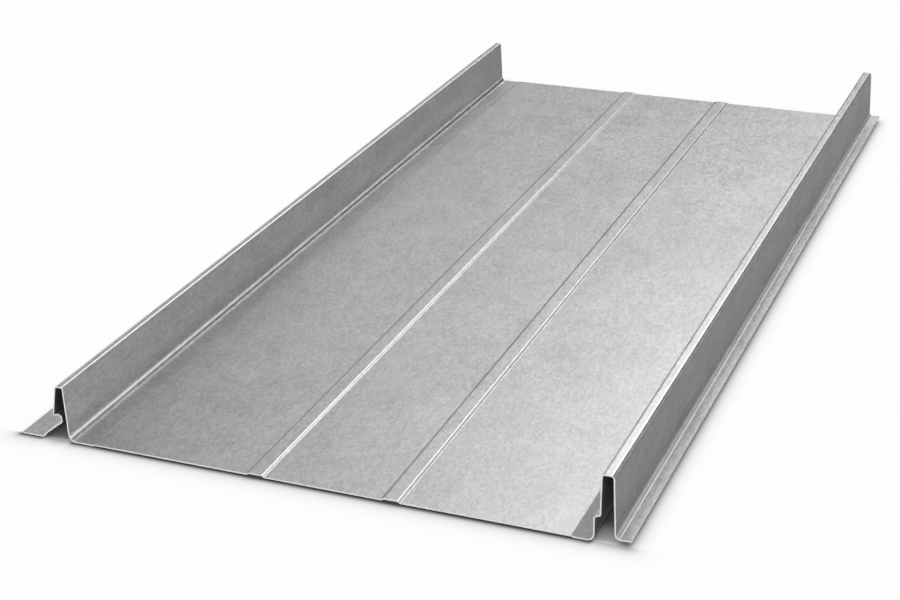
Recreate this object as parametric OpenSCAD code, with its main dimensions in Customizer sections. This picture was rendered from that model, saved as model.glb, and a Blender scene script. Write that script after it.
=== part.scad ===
// Standing seam roof panel: one roll-formed length of galvanised steel sheet.
//
// The panel is a single strip of sheet, bent to the same section from end to
// end. Seen from its near end, from left to right, the section is a nail
// flange, a stepped slope up to the snap hook, the narrow male rib, the flat
// pan with two low stiffening beads, the taller female rib with its shoulder,
// and a raised drip flange.
//
// Frame: +X across the panel towards the female rib, +Y along its length,
// +Z up. The origin is the middle of the footprint, on the floor.
//
// Every corner of the section is given on the middle line of the sheet as
// [x, z, bend radius], with x from the foot of the male rib and z from the
// middle of the sheet where it lies on the floor.

/* [Sheet] */
// Thickness of the sheet
sheet_t = 1.0; // [0.6:0.05:1.1]
// Length of the panel
panel_l = 900; // [300:10:3000]

/* [Pan] */
// Width of the pan, from the foot of the male rib to the foot of the female rib
pan_w = 392.6; // [300:0.1:500]
// How far the middle of the pan is raised above the strips beside the ribs
pan_rise = 0.5; // [0.3:0.1:1.2]
// Width of the low strip beside the male rib
strip_male_w = 19.2; // [17:0.1:24]
// Width of the low strip beside the female rib
strip_female_w = 13.6; // [12:0.1:24]
// Distance between the middles of the two stiffening beads
bead_pitch = 101.6; // [60:0.1:140]
// Width of a bead at its foot
bead_w = 14; // [12:0.1:20]
// Width of the flat on top of a bead
bead_top_w = 10; // [6:0.1:10.4]
// Height of a bead above the pan
bead_h = 1.1; // [0.8:0.1:2.5]

/* [Male rib] */
// Outside height of the male rib
male_h = 43.2; // [38:0.1:48]
// Width of the male rib's top, between its corners
male_top_w = 6.05; // [5:0.05:7]
// How far the pan-side wall of the male rib leans out over its height
male_web_lean = 1.75; // [0.5:0.05:4]
// How far the outer leg of the male rib flares out from its top to the hook
male_leg_flare = 3.7; // [2:0.1:4]
// Height of the bottom of the outer leg, where the hook starts
hook_z = 18.9; // [18:0.1:20]
// Radius of the bend at the foot of the male rib
male_foot_r = 6; // [3:0.1:8]

/* [Nail flange] */
// Width of the nail flange, from its edge to the foot of the step
flange_w = 17.7; // [12:0.1:30]
// Height of the step between the nail flange and the slope
flange_step_h = 4.2; // [3:0.1:6]

/* [Female rib] */
// Outside height of the female rib
female_h = 50.8; // [48:0.1:60]
// Width of the female rib's top, between its corners
female_top_w = 8.15; // [7.5:0.05:12]
// Height of the shoulder on the pan-side wall of the female rib
shoulder_z = 18; // [14:0.1:24]
// How far the wall steps out over the shoulder
shoulder_w = 4.2; // [3.6:0.1:5]
// Radius of the bend at the foot of the female rib
female_foot_r = 4.8; // [3:0.1:6]
// Height of the underside of the drip flange above the floor
drip_z = 4.3; // [3:0.1:8]
// Width of the drip flange, from the outer leg to its edge
drip_w = 10.9; // [8:0.1:20]

/* [Hidden] */
// Each step of a bend turns by no more than this angle
bend_step = 6;

// Middle of the beads, halfway between the two small steps of the pan
bead_mid = (strip_male_w + pan_w - strip_female_w) / 2;
bead_lx = bead_mid - bead_pitch / 2;
bead_rx = bead_mid + bead_pitch / 2;
// Heights on the middle of the sheet
male_z = male_h - sheet_t;
female_z = female_h - sheet_t;
// The run of a small step of the pan
step_run = 1.3;
// The male rib's corners, from its foot outwards
male_in_x = -male_web_lean;
male_out_x = male_in_x - male_top_w;
leg_foot_x = male_out_x - male_leg_flare;
// The hook: a rounded nose that points at the pan-side wall
nose_x = leg_foot_x + 6.6;
nose_top_z = hook_z + 2.3;
nose_low_z = hook_z - 4.3;
slope_top_x = nose_x + 0.1;
slope_foot_x = slope_top_x - 13.2;
flange_foot_x = slope_foot_x - 3.6;
flange_edge_x = flange_foot_x - flange_w;
// The female rib's corners
wall_x = pan_w;
shoulder_x = wall_x + shoulder_w;
female_in_x = shoulder_x + 0.5;
female_out_x = female_in_x + female_top_w;
drip_foot_x = female_out_x + 1.75;
drip_edge_x = drip_foot_x + drip_w;
// The middle of the footprint
mid_x = (flange_edge_x + drip_edge_x) / 2;

// A low raised bead on the pan, around x
function bead(x) = [
    [x - bead_w / 2,     pan_rise,          1.5],
    [x - bead_top_w / 2, pan_rise + bead_h, 1.5],
    [x + bead_top_w / 2, pan_rise + bead_h, 1.5],
    [x + bead_w / 2,     pan_rise,          1.5]];

nail_flange_corners = [
    [flange_edge_x, 0,             0],
    [flange_foot_x, 0,             1.0],
    [slope_foot_x,  flange_step_h, 1.2]];

// The male rib and the outer leg of the female rib each end in a bend, a short
// flat and a light crease, before the sheet runs level
male_rib_corners = [
    [slope_top_x, nose_low_z, 2.5],
    [nose_x,      nose_top_z, 2.6],
    [leg_foot_x,  hook_z,     1.0],
    [male_out_x,  male_z,     2.0],
    [male_in_x,   male_z,     1.4],
    [-0.13,       3.3,        male_foot_r],
    [2.55,        0.33,       0.8],
    [4.9,         0,          2.0]];

pan_corners = concat(
    [[strip_male_w, 0, 1.0], [strip_male_w + step_run, pan_rise, 1.0]],
    bead(bead_lx),
    bead(bead_rx),
    [[wall_x - strip_female_w - step_run, pan_rise, 1.0],
     [wall_x - strip_female_w, 0, 1.0]]);

female_rib_corners = [
    [wall_x,       0,                female_foot_r],
    [wall_x,       shoulder_z,       1.8],
    [shoulder_x,   shoulder_z + 1.4, 1.6],
    [female_in_x,  female_z,         2.2],
    [female_out_x, female_z,         2.2],
    [drip_foot_x - 0.1,  drip_z + 2.0,  3.0],
    [drip_foot_x + 1.15, drip_z + 0.45, 0.8],
    [drip_foot_x + 3.3,  drip_z,        2.0],
    [drip_edge_x,  drip_z,           0]];

corners = concat(nail_flange_corners, male_rib_corners, pan_corners,
                 female_rib_corners);

// Direction of travel from a to b, and the turn between two directions
function heading(a, b) = atan2(b[1] - a[1], b[0] - a[0]);
function turn(h0, h1) =
    let (d = h1 - h0) d > 180 ? d - 360 : d < -180 ? d + 360 : d;

// The bend at corner b between a and c, as [x, z, heading] along the middle of
// the sheet
function bend(a, b, c) =
    let (h0 = heading(a, b), d = turn(h0, heading(b, c)), s = sign(d), r = b[2],
         back = r * tan(abs(d) / 2),
         start = [b[0] - back * cos(h0), b[1] - back * sin(h0)],
         centre = [start[0] - s * r * sin(h0), start[1] + s * r * cos(h0)],
         n = max(2, ceil(abs(d) / bend_step)))
    [for (k = [0:n]) let (h = h0 + d * k / n)
        [centre[0] + s * r * sin(h), centre[1] - s * r * cos(h), h]];

// The whole middle line of the sheet
function middle_line(c) =
    let (n = len(c))
    concat([[c[0][0], c[0][1], heading(c[0], c[1])]],
           [for (i = [1:n - 2]) each bend(c[i - 1], c[i], c[i + 1])],
           [[c[n - 1][0], c[n - 1][1], heading(c[n - 2], c[n - 1])]]);

// One face of the sheet, off to the left of the middle line by o
function face(line, o) =
    [for (p = line) [p[0] - o * sin(p[2]), p[1] + o * cos(p[2])]];

function reversed(v) = [for (i = [len(v) - 1:-1:0]) v[i]];

// The section of the sheet, all in one closed outline
module section() {
    line = middle_line(corners);
    polygon(concat(face(line, -sheet_t / 2), reversed(face(line, sheet_t / 2))));
}

module roof_panel() {
    color([0.68, 0.69, 0.69])
    translate([-mid_x, panel_l / 2, sheet_t / 2])
    rotate([90, 0, 0])
    linear_extrude(height = panel_l)
    section();
}

roof_panel();
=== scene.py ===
"""Looks of the standing seam roof panel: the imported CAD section, rebuilt as a finer sheet mesh
with slightly rolled cut edges and a faint waviness of the pan, in a satin galvanised finish."""

import math

import bmesh
import bpy
import numpy as np
from mathutils import Matrix, Vector


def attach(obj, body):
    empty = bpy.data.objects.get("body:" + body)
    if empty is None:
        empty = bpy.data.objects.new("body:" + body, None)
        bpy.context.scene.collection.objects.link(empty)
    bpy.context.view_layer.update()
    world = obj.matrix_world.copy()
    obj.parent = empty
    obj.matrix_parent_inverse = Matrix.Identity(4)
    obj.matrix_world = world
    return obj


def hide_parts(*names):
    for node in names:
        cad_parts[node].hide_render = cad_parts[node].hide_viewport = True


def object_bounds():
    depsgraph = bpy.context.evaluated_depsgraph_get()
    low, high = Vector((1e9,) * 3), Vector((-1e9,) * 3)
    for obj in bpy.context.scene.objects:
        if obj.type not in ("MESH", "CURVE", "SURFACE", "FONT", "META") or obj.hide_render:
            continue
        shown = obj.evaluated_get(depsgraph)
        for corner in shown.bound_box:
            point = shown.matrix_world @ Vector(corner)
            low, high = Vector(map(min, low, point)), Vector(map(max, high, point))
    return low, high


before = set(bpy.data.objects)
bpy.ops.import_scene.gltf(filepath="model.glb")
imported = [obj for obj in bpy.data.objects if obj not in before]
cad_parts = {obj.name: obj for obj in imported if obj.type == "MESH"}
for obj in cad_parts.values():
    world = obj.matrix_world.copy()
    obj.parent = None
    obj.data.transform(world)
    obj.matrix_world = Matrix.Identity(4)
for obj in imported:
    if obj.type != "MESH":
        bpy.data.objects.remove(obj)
cad_lo, cad_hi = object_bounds()
NODE = "roof_panel"
scene = bpy.context.scene


# ---------------------------------------------------------------- section of the sheet

def end_outline(obj):
    """The closed outline of the near end of an extruded CAD node, as an array of (x, z)."""
    me = obj.data
    co = np.zeros(len(me.vertices) * 3)
    me.vertices.foreach_get("co", co)
    co = co.reshape(-1, 3)
    y0 = co[:, 1].min()
    key = [tuple(int(round(c * 1e7)) for c in p) for p in co]
    count, place = {}, {}
    for poly in me.polygons:
        vs = list(poly.vertices)
        if all(abs(co[v][1] - y0) < 1e-6 for v in vs):
            for a, b in zip(vs, vs[1:] + vs[:1]):
                e = tuple(sorted((key[a], key[b])))
                count[e] = count.get(e, 0) + 1
                place[key[a]], place[key[b]] = co[a], co[b]
    nbr = {}
    for (a, b), n in count.items():
        if n == 1:
            nbr.setdefault(a, []).append(b)
            nbr.setdefault(b, []).append(a)
    start = min(nbr, key=lambda k: (k[0], k[2]))  # the lower corner of the nail flange's edge
    walk, prev, here = [start], None, start
    # leave along the underside, so that the loop runs under the sheet and comes back over it
    nxt = max(nbr[start], key=lambda k: k[0])
    while nxt != start:
        walk.append(nxt)
        prev, here = here, nxt
        a, b = nbr[here]
        nxt = b if a == prev else a
    return np.array([[place[k][0], place[k][2]] for k in walk])


loop = end_outline(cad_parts[NODE])
half = len(loop) // 2
under, over = loop[:half], loop[half:][::-1]  # the two faces, from the nail flange to the drip flange
sheet_t = float(np.median(np.linalg.norm(over - under, axis=1)))
middle = (under + over) / 2


def bend_marks(seg):
    """For every corner point of the middle line: how much of a bend it is part of, 1 for the ribs' sharp bends."""
    d = np.diff(middle, axis=0)
    head = np.unwrap(np.arctan2(d[:, 1], d[:, 0]))
    mark = np.zeros(len(middle))
    i = 0
    while i < len(seg):
        if seg[i] < 1.6e-3:
            j = i
            while j + 1 < len(seg) and seg[j + 1] < 1.6e-3:
                j += 1
            after, before = head[min(j + 1, len(head) - 1)], head[max(i - 1, 0)]
            mark[i:j + 2] = min(1.0, max(0.15, (abs(after - before) - 0.5) / 0.7))
            i = j + 1
        else:
            i += 1
    return mark


def station_pairs(max_gap):
    """Points across the sheet with extra ones on the long flats: middle line, direction across the sheet, and a bend mark."""
    mid, nor, bent = [], [], []
    n = (over - under) / sheet_t
    seg = np.linalg.norm(np.diff(middle, axis=0), axis=1)
    mark = bend_marks(seg)
    for i in range(len(middle)):
        mid.append(middle[i])
        nor.append(n[i])
        bent.append(float(mark[i]))
        if i < len(seg) and seg[i] > 1.6e-3:
            k = int(math.ceil(seg[i] / max_gap))
            # a close point just inside each end of a flat keeps the bend's shading off the flat
            close = min(0.25, 0.6e-3 / seg[i])
            for t in [close] + [j / k for j in range(1, k)] + [1 - close]:
                mid.append(middle[i] * (1 - t) + middle[i + 1] * t)
                nor.append(n[i] if np.dot(n[i], n[i + 1]) > 0.9999 else n[i] * (1 - t) + n[i + 1] * t)
                bent.append(0.0)
    return np.array(mid), np.array(nor), np.array(bent)


mid, nor, bent = station_pairs(9e-3)
y_near, y_far = cad_lo.y, cad_hi.y
NY = 72
ROLL = 0.14e-3  # the rolled-over rim of a cut edge

# the beads are where the middle of the sheet stands over the level of the pan
on_pan = np.abs(mid[:, 0]) < 0.165
pan_z = float(np.median(mid[on_pan, 1]))
bead_x = mid[on_pan & (mid[:, 1] > pan_z + 0.9e-3), 0]
BEADS = [float(g.mean()) for g in np.split(bead_x, np.where(np.diff(bead_x) > 0.02)[0] + 1)]

# the flat on top of the female rib gets the bends' painted highlight, stronger
bent[mid[:, 1] > cad_hi.z - 0.7e-3] = 1.4


def smooth(a, b, x):
    t = np.clip((x - a) / (b - a), 0, 1)
    return t * t * (3 - 2 * t)


def painted_shade_marks():
    """For every station and each face: how much shade is painted into the zinc's colour, where it is also made rougher:
    the left flanks of the beads and steps, the low strips, the rib tops' right corners, the female rib's leg and foot,
    and the rib hollows.
    """
    x, z = mid[:, 0], mid[:, 1]
    low = (z < pan_z + 3e-3) & (np.abs(x) < 0.2)
    # painted shade on the left flanks of the beads and of the step beside the male rib, which face away from the light
    top = 0.8 * smooth(0.08, 0.35, -nor[:, 0]) * (low & on_pan) + 0.35 * smooth(0.03, 0.2, -nor[:, 0]) * (low & ~on_pan)
    # painted shade on the low strip beside the male rib, and fainter on the pan next to it
    strip = smooth(-0.186, -0.184, x) * (1 - smooth(-0.1712, -0.1700, x)) * (z < 1.5e-3)
    top = np.maximum(top, 0.4 * strip)
    top = np.maximum(top, 0.25 * (x > -0.1712) * (1 - smooth(-0.170, -0.136, x)) * (z < pan_z + 3e-3))
    # painted shade on the right-hand corners of the two rib tops
    rib_tops = (bent > 0) & (((x < 0) & (z > 0.038)) | ((x > 0) & (z > cad_hi.z - 6e-3)))
    top = np.maximum(top, 0.9 * smooth(0.45, 0.8, nor[:, 0]) * rib_tops)
    # painted shade on the lower half of the female rib's outer leg, darker towards the bottom, and on the bend and the
    # short flat at its foot
    leg = (x > cad_hi.x - 0.0145) & (nor[:, 0] > 0.9)
    top = np.maximum(top, 0.55 * (1 - smooth(0.024, 0.045, z)) * leg)
    drip = (x > cad_hi.x - 0.0125) & (z < 9e-3)
    flat = (0.85 - 0.6 * smooth(-0.0093, -0.0083, x - cad_hi.x)) * smooth(0.1, 0.19, nor[:, 0]) * (nor[:, 0] < 0.3)
    top = np.maximum(top, np.maximum(flat, 0.6 * smooth(0.3, 0.6, nor[:, 0])) * drip)
    # painted shade on the low strip beside the female rib, with its step
    trough_end = cad_hi.x - 0.0255
    strip = smooth(trough_end - 0.0158, trough_end - 0.0149, x) * (1 - smooth(trough_end - 0.004, trough_end, x)) * (z < 3e-3)
    top = np.maximum(top, 0.9 * strip)
    # painted shade in the hollow of each rib, on the underside
    inside = 0.6 * smooth(3e-3, 8e-3, z) * np.where(x > 0, 1.0, smooth(-0.2025, -0.2005, x))
    return top, inside


def waviness(x, z, y):
    """How far the sheet stands off its true section: a faint oil-canning between the beads, none at the bends."""
    pan = smooth(-0.166, -0.125, x) * (1 - smooth(0.150, 0.186, x)) * (z < pan_z + 3e-3)
    for b in BEADS:
        pan = pan * (1 - 0.85 * np.exp(-(((x - b) / 0.014) ** 2)))
    w = 0.55 * np.sin(2 * math.pi * (y / 0.41 + 0.13) + 3.1 * x / 0.19)
    w = w + 0.35 * np.sin(2 * math.pi * (y / 0.233 + 0.61) - 2.3 * x / 0.11 + 0.8)
    w = w + 0.22 * np.sin(2 * math.pi * (y / 0.127 + x / 0.083) + 2.1)
    ends = 0.35 + 0.65 * smooth(0, 0.05, y - y_near) * (1 - smooth(0.85, 0.9, y - y_near))
    return 0.22e-3 * pan * w * ends


# ---------------------------------------------------------------- the sheet as a mesh

verts, faces, cut_face = [], [], []


def ring(y, inset):
    """One closed ring of the section at y. inset pulls it in from the faces by the rim, for the cut ends."""
    t0 = (mid[1] - mid[0]) / np.linalg.norm(mid[1] - mid[0])
    t1 = (mid[-1] - mid[-2]) / np.linalg.norm(mid[-1] - mid[-2])
    w = waviness(mid[:, 0], mid[:, 1], y)[:, None]
    c = mid + nor * w
    h = sheet_t / 2 - inset
    lo_, up_ = c - nor * h, c + nor * h
    # the two long cut edges have their own rim, a narrower one in the cut ends
    rim = ROLL / 2 if inset else ROLL
    lo_ = np.vstack([lo_[0] + t0 * inset + nor[0] * rim, lo_[0] + t0 * (inset + rim), lo_[1:-1],
                     lo_[-1] - t1 * (inset + rim), lo_[-1] - t1 * inset + nor[-1] * rim])
    up_ = np.vstack([up_[0] + t0 * inset - nor[0] * rim, up_[0] + t0 * (inset + rim), up_[1:-1],
                     up_[-1] - t1 * (inset + rim), up_[-1] - t1 * inset - nor[-1] * rim])
    return lo_, up_, y


ys = [y_near, y_near + ROLL] + list(np.linspace(y_near, y_far, NY + 1)[1:-1]) + [y_far - ROLL, y_far]
rings = []
for k, y in enumerate(ys):
    lo_, up_, _ = ring(y, ROLL if k in (0, len(ys) - 1) else 0.0)
    rings.append((lo_, up_))
n = len(rings[0][0])
for lo_, up_ in rings:
    for p in lo_:
        verts.append(p)
    for p in up_[::-1]:
        verts.append(p)
m = 2 * n
V = np.array([[p[0], ys[i // m], p[1]] for i, p in enumerate(verts)])
for k in range(len(ys) - 1):
    a, b = k * m, (k + 1) * m
    for i in range(m):
        j = (i + 1) % m
        faces.append((a + i, a + j, b + j, b + i))
        tip = i == n - 1 or i == m - 1
        cut_face.append(1 if tip or k in (0, len(ys) - 2) else 0)
for k, flip in ((0, False), (len(ys) - 1, True)):
    a = k * m
    for i in range(n - 1):
        q = (a + i, a + m - 1 - i, a + m - 2 - i, a + i + 1)
        faces.append(q[::-1] if flip else q)
        cut_face.append(1)

me = bpy.data.meshes.new("sheet")
me.from_pydata([tuple(v) for v in V], [], faces)
me.update()
sheet = bpy.data.objects.new("sheet", me)
scene.collection.objects.link(sheet)
me.polygons.foreach_set("use_smooth", [True] * len(me.polygons))

# a bend mark on every vertex, for a painted highlight on the bends, which also makes them a little smoother
bend_line = np.concatenate([[0.0], [0.0], bent[1:-1], [0.0], [0.0]])
per_ring = np.concatenate([bend_line, bend_line[::-1]])
at = me.attributes.new("bend", "FLOAT", "POINT")
at.data.foreach_set("value", np.tile(per_ring, len(ys)).astype(np.float32))

# painted shade: a mark on every vertex, top face and underside, that darkens the zinc's colour and roughens it
top_painted_shade, inside_painted_shade = painted_shade_marks()
top_painted_shade = np.concatenate([[0.0], [0.0], top_painted_shade[1:-1], [0.0], [0.0]])
inside_painted_shade = np.concatenate([[0.0], [0.0], inside_painted_shade[1:-1], [0.0], [0.0]])
at = me.attributes.new("painted_shade", "FLOAT", "POINT")
at.data.foreach_set("value", np.tile(np.concatenate([inside_painted_shade, top_painted_shade[::-1]]), len(ys)).astype(np.float32))
me.polygons.foreach_set("material_index", cut_face)

# sharp where the cut faces meet the rolled faces
bm = bmesh.new()
bm.from_mesh(me)
bmesh.ops.recalc_face_normals(bm, faces=bm.faces)
for e in bm.edges:
    if len(e.link_faces) == 2 and e.calc_face_angle(0) > math.radians(30):
        e.smooth = False
bad = [e for e in bm.edges if len(e.link_faces) != 2]
if bad:
    raise RuntimeError(f"the sheet's mesh isn't closed at {len(bad)} edges")
bm.to_mesh(me)
bm.free()
me.update()
wn = sheet.modifiers.new("even_shading", "WEIGHTED_NORMAL")
wn.mode, wn.weight, wn.keep_sharp = "FACE_AREA", 50, True

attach(sheet, "root")
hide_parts(NODE)


# ---------------------------------------------------------------- materials

class Nodes:
    """A short way to write a node tree."""

    def __init__(self, tree):
        self.t = tree
        tree.nodes.clear()

    def new(self, kind, **values):
        node = self.t.nodes.new(kind)
        for k, v in values.items():
            setattr(node, k, v)
        return node

    def put(self, value, socket):
        if isinstance(value, bpy.types.NodeSocket):
            self.t.links.new(value, socket)
        elif value is not None:
            socket.default_value = value

    def math(self, op, a, b=None, c=None, clamp=False):
        node = self.new("ShaderNodeMath", operation=op, use_clamp=clamp)
        for v, s in zip((a, b, c), node.inputs):
            self.put(v, s)
        return node.outputs[0]

    def vec(self, op, a, b=None):
        node = self.new("ShaderNodeVectorMath", operation=op)
        self.put(a, node.inputs[0])
        if b is not None:
            self.put(b, node.inputs[3] if op == "SCALE" else node.inputs[1])
        return node.outputs["Value"] if op == "DOT_PRODUCT" else node.outputs[0]

    def range(self, v, a, b, c=0.0, d=1.0, kind="SMOOTHSTEP"):
        node = self.new("ShaderNodeMapRange", interpolation_type=kind)
        for x, s in zip((v, a, b, c, d), node.inputs):
            self.put(x, s)
        return node.outputs[0]

    def mix(self, f, a, b, kind="MIX"):
        node = self.new("ShaderNodeMix", data_type="RGBA", blend_type=kind)
        self.put(f, node.inputs[0])
        self.put(a, node.inputs[6])
        self.put(b, node.inputs[7])
        return node.outputs[2]

    def noise(self, vector, scale, detail=2.0, rough=0.5, distortion=0.0):
        node = self.new("ShaderNodeTexNoise")
        self.put(vector, node.inputs["Vector"])
        self.put(scale, node.inputs["Scale"])
        self.put(detail, node.inputs["Detail"])
        self.put(rough, node.inputs["Roughness"])
        self.put(distortion, node.inputs["Distortion"])
        return node.outputs["Fac"]


def galvanised():
    mat = bpy.data.materials.new("galvanised_sheet")
    mat.use_nodes = True
    g = Nodes(mat.node_tree)
    pos = g.new("ShaderNodeTexCoord").outputs["Object"]
    bend = g.new("ShaderNodeAttribute", attribute_name="bend").outputs["Fac"]
    painted_shade = g.new("ShaderNodeAttribute", attribute_name="painted_shade").outputs["Fac"]
    # the skin is drawn out a little along the panel by the rolls
    drawn = g.vec("MULTIPLY", pos, (1.0, 0.42, 1.0))
    # zinc crystals, small and soft edged, each with a tone of its own
    vor = g.new("ShaderNodeTexVoronoi", feature="SMOOTH_F1")
    g.put(drawn, vor.inputs["Vector"])
    vor.inputs["Scale"].default_value = 620.0
    vor.inputs["Smoothness"].default_value = 0.45
    tone = g.new("ShaderNodeSeparateColor")
    g.put(vor.outputs["Color"], tone.inputs[0])
    crystal = tone.outputs[0]
    fine = g.noise(drawn, 1250.0, 2.0, 0.6)
    patch = g.noise(drawn, 95.0, 3.0, 0.55)
    cloud = g.noise(pos, 24.0, 4.0, 0.55)
    broad = g.noise(pos, 6.0, 2.0, 0.5)
    # colour: a zinc grey, a touch warm
    v = g.math("MULTIPLY_ADD", crystal, 0.15, 0.283)
    v = g.math("MULTIPLY_ADD", fine, 0.34, v)
    v = g.math("MULTIPLY_ADD", patch, 0.11, v)
    v = g.math("MULTIPLY_ADD", cloud, 0.12, v)
    v = g.math("MULTIPLY_ADD", broad, 0.03, v)
    # painted highlight: lighter on the bends and on the female rib's top
    v = g.math("MULTIPLY_ADD", bend, 0.05, v)
    # painted shade: the colour is up to about half as bright where the painted-shade mark is set
    v = g.math("MULTIPLY", v, g.math("MULTIPLY_ADD", painted_shade, -0.48, 1.0))
    rgb = g.new("ShaderNodeCombineColor")
    g.put(g.math("MULTIPLY", v, 0.998), rgb.inputs[0])
    g.put(v, rgb.inputs[1])
    g.put(g.math("MULTIPLY", v, 0.982), rgb.inputs[2])
    # roughness: the zinc skin is satin, and the bends are polished a little by the forming rolls
    r = g.math("MULTIPLY_ADD", crystal, 0.06, 0.285)
    r = g.math("MULTIPLY_ADD", cloud, 0.07, r)
    r = g.math("MULTIPLY_ADD", bend, -0.02, r)
    # and rougher under the painted shade
    r = g.math("MULTIPLY_ADD", painted_shade, 0.22, r)
    bump = g.new("ShaderNodeBump")
    bump.inputs["Strength"].default_value = 0.08
    bump.inputs["Distance"].default_value = 0.0004
    h = g.math("MULTIPLY_ADD", crystal, 0.6, g.math("MULTIPLY", fine, 0.6))
    g.put(h, bump.inputs["Height"])
    p = g.new("ShaderNodeBsdfPrincipled")
    p.inputs["Metallic"].default_value = 1.0
    g.put(rgb.outputs[0], p.inputs["Base Color"])
    g.put(r, p.inputs["Roughness"])
    g.put(bump.outputs[0], p.inputs["Normal"])
    out = g.new("ShaderNodeOutputMaterial")
    g.put(p.outputs[0], out.inputs[0])
    return mat


def cut_edge():
    mat = bpy.data.materials.new("cut_edge")
    mat.use_nodes = True
    g = Nodes(mat.node_tree)
    pos = g.new("ShaderNodeTexCoord").outputs["Object"]
    grain = g.noise(pos, 1500.0, 2.0, 0.6)
    patch = g.noise(pos, 60.0, 2.0, 0.5)
    v = g.math("MULTIPLY_ADD", grain, 0.06, 0.91)
    v = g.math("MULTIPLY_ADD", patch, 0.05, v)
    rgb = g.new("ShaderNodeCombineColor")
    for s in rgb.inputs[:3]:
        g.put(v, s)
    r = g.math("MULTIPLY_ADD", grain, 0.15, 0.55)
    bump = g.new("ShaderNodeBump")
    bump.inputs["Strength"].default_value = 0.15
    bump.inputs["Distance"].default_value = 0.0002
    g.put(grain, bump.inputs["Height"])
    p = g.new("ShaderNodeBsdfPrincipled")
    p.inputs["Metallic"].default_value = 0.1
    g.put(rgb.outputs[0], p.inputs["Base Color"])
    g.put(r, p.inputs["Roughness"])
    g.put(bump.outputs[0], p.inputs["Normal"])
    out = g.new("ShaderNodeOutputMaterial")
    g.put(p.outputs[0], out.inputs[0])
    return mat


me.materials.append(galvanised())
me.materials.append(cut_edge())

# ---------------------------------------------------------------- camera

AZ, EL, ROLL_DEG = math.radians(-21.89086), math.radians(24.11434), math.radians(-0.82803)
d = Vector((math.sin(AZ) * math.cos(EL), math.cos(AZ) * math.cos(EL), -math.sin(EL)))
r_ = Vector((math.cos(AZ), -math.sin(AZ), 0))
u_ = r_.cross(d)
r2 = math.cos(ROLL_DEG) * r_ + math.sin(ROLL_DEG) * u_
u2 = -math.sin(ROLL_DEG) * r_ + math.cos(ROLL_DEG) * u_
cam_data = bpy.data.cameras.new("camera")
cam_data.sensor_width = 36.0
cam_data.lens = 1908.88 / 900 * 36.0
cam_data.clip_start, cam_data.clip_end = 0.05, 60.0
cam = bpy.data.objects.new("camera", cam_data)
scene.collection.objects.link(cam)
cam.matrix_world = Matrix(((r2.x, u2.x, -d.x, 0.51509), (r2.y, u2.y, -d.y, -1.46884), (r2.z, u2.z, -d.z, 0.64778), (0, 0, 0, 1)))
scene.camera = cam

# ---------------------------------------------------------------- studio

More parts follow.
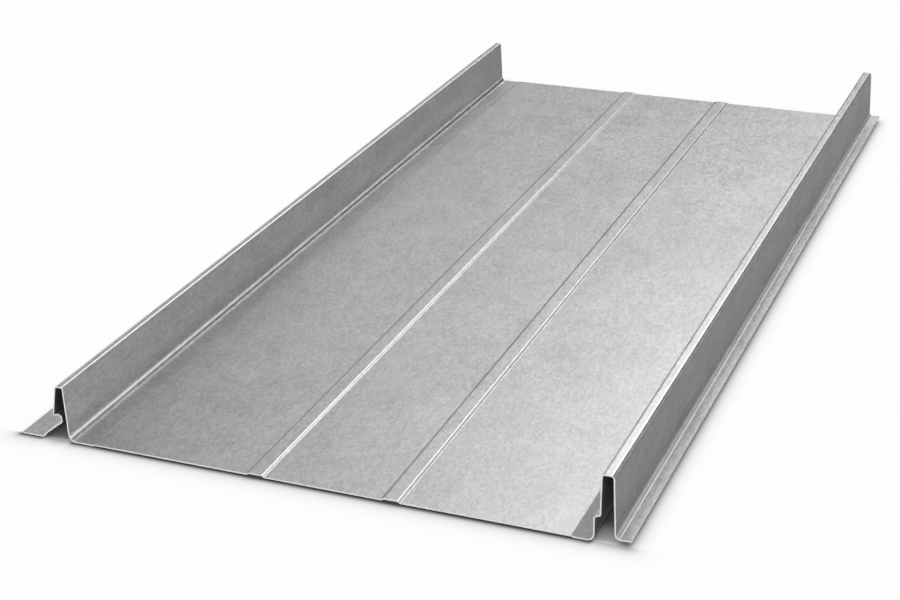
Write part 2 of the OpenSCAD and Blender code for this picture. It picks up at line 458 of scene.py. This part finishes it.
def floor():
    s = 30.0
    fm = bpy.data.meshes.new("floor")
    fm.from_pydata([(-s, -s, -0.0002), (s, -s, -0.0002), (s, s, -0.0002), (-s, s, -0.0002)], [], [(0, 1, 2, 3)])
    fo = bpy.data.objects.new("floor", fm)
    scene.collection.objects.link(fo)
    mat = bpy.data.materials.new("floor")
    mat.use_nodes = True
    g = Nodes(mat.node_tree)
    # an evenly white sweep to look at, darker only where the sheet hangs close over it
    near = g.new("ShaderNodeAmbientOcclusion", samples=12)
    near.inputs["Distance"].default_value = 0.016
    ao = near.outputs["AO"]
    pos = g.new("ShaderNodeSeparateXYZ")
    g.put(g.new("ShaderNodeTexCoord").outputs["Object"], pos.inputs[0])
    front = g.math("SUBTRACT", cad_lo.y, pos.outputs[1])
    right = g.math("SUBTRACT", pos.outputs[0], cad_hi.x)
    left = g.math("SUBTRACT", cad_lo.x, pos.outputs[0])
    beside = g.math("MAXIMUM", right, left)
    # deeper in the hollows than beside the panel
    under_it = g.range(g.math("MAXIMUM", front, beside), 0.001, -0.006)
    open_ = g.math("POWER", ao, g.math("MULTIPLY_ADD", under_it, 1.0, 1.3))
    open_ = g.math("MULTIPLY_ADD", g.math("MULTIPLY", g.math("SUBTRACT", 1.0, ao), under_it), 0.05, open_)
    # and deeper still away from their open ends
    back = g.math("SUBTRACT", pos.outputs[1], cad_hi.y)
    inside = g.range(g.math("MAXIMUM", front, back), -0.001, -0.032, 0.0, 0.86)
    open_ = g.math("MULTIPLY", open_, g.math("SUBTRACT", 1.0, g.math("MULTIPLY", inside, under_it)))
    # the soft contact shadow in front of the panel
    out_x = g.math("MAXIMUM", beside, 0.0)
    gap = g.math("SQRT", g.math("ADD", g.math("MULTIPLY", out_x, out_x), g.math("MULTIPLY", front, front)))
    ahead = g.range(front, -0.003, 0.0005)
    soft = g.math("MULTIPLY", g.math("EXPONENT", g.math("MULTIPLY", gap, -1 / 0.006)), ahead)
    tight = g.math("MULTIPLY", g.math("EXPONENT", g.math("MULTIPLY", g.math("MULTIPLY", gap, gap), -1 / 0.0032 ** 2)), ahead)
    # and lighter where the mouth of a rib stands open, and off under the raised drip flange
    off = g.math("ABSOLUTE", g.math("SUBTRACT", pos.outputs[0], cad_lo.x + 0.0295))
    raised = g.range(pos.outputs[0], cad_hi.x - 0.0290, cad_hi.x - 0.0240)
    shut = g.math("SUBTRACT", 1.0, g.math("ADD", g.range(off, 0.0135, 0.0085), raised), clamp=True)
    soft = g.math("MULTIPLY", soft, g.math("MULTIPLY_ADD", shut, 0.4, 0.6))
    tight = g.math("MULTIPLY", tight, shut)
    open_ = g.math("MULTIPLY", open_, g.math("MULTIPLY_ADD", soft, -0.55, 1.0))
    open_ = g.math("MULTIPLY", open_, g.math("MULTIPLY_ADD", tight, -0.78, 1.0))
    shade = g.new("ShaderNodeCombineColor")
    for s_ in shade.inputs[:3]:
        g.put(g.math("MULTIPLY", open_, 0.985), s_)
    a = g.new("ShaderNodeEmission")
    g.put(shade.outputs[0], a.inputs["Color"])
    # what the panel is lit by and mirrors is a plain pale floor
    b = g.new("ShaderNodeBsdfDiffuse")
    b.inputs["Color"].default_value = (0.40, 0.40, 0.40, 1)
    mixed = g.new("ShaderNodeMixShader")
    g.put(g.new("ShaderNodeLightPath").outputs["Is Camera Ray"], mixed.inputs[0])
    g.put(b.outputs[0], mixed.inputs[1])
    g.put(a.outputs[0], mixed.inputs[2])
    out = g.new("ShaderNodeOutputMaterial")
    g.put(mixed.outputs[0], out.inputs[0])
    fm.materials.append(mat)


floor()


def studio():
    world = bpy.data.worlds.new("studio")
    scene.world = world
    world.use_nodes = True
    g = Nodes(world.node_tree)
    way = g.new("ShaderNodeTexCoord").outputs["Generated"]
    sep = g.new("ShaderNodeSeparateXYZ")
    g.put(way, sep.inputs[0])
    x, y, z = sep.outputs

    def lobe(az, el, wide, tight=0.0):
        a, e = math.radians(az), math.radians(el)
        axis = (math.sin(a) * math.cos(e), math.cos(a) * math.cos(e), math.sin(e))
        dot = g.vec("DOT_PRODUCT", way, axis)
        return g.range(dot, math.cos(math.radians(wide)), math.cos(math.radians(tight)))

    # soft boxes behind the panel, to its right, to its left and behind the viewer, in a dim room
    light = g.range(z, 0.0, 0.95, 0.41, 0.31)
    light = g.math("MULTIPLY_ADD", lobe(-9, 43, 24, 4), 1.2, light)
    light = g.math("MULTIPLY_ADD", lobe(-2, 36, 16, 2), 2.4, light)
    light = g.math("MULTIPLY_ADD", lobe(62, 8, 39, 8), 0.78, light)
    light = g.math("MULTIPLY_ADD", lobe(46, 6, 20, 3), 1.2, light)
    light = g.math("MULTIPLY_ADD", lobe(-67, 8, 39, 15), 1.0, light)
    light = g.math("MULTIPLY_ADD", lobe(177, 12, 40, 12), 2.3, light)
    light = g.math("MULTIPLY_ADD", lobe(102, 12, 36, 12), 1.6, light)
    light = g.math("MULTIPLY_ADD", lobe(12, 29, 14, 4), 0.5, light)
    # the dark gaps between the boxes
    light = g.math("MULTIPLY_ADD", lobe(15, 21, 39, 16), -0.6, light)
    light = g.math("MULTIPLY_ADD", lobe(-41, 52, 26, 15), -0.45, light)
    light = g.math("MAXIMUM", light, 0.02)
    seen = g.new("ShaderNodeLightPath").outputs["Is Camera Ray"]
    look = g.new("ShaderNodeBackground")
    look.inputs["Color"].default_value = (0.98, 0.98, 0.98, 1)
    room = g.new("ShaderNodeBackground")
    g.put(light, room.inputs["Strength"])
    # the dim room is a little warmer than the boxes
    tint = g.mix(g.range(light, 0.3, 1.8, kind="LINEAR"), (1.0, 0.998, 0.978, 1), (0.995, 1.0, 1.015, 1))
    g.put(tint, room.inputs["Color"])
    mixed = g.new("ShaderNodeMixShader")
    g.put(seen, mixed.inputs[0])
    g.put(room.outputs[0], mixed.inputs[1])
    g.put(look.outputs[0], mixed.inputs[2])
    out = g.new("ShaderNodeOutputWorld")
    g.put(mixed.outputs[0], out.inputs[0])


studio()
scene.view_settings.view_transform = "Standard"

bpy.context.view_layer.update()
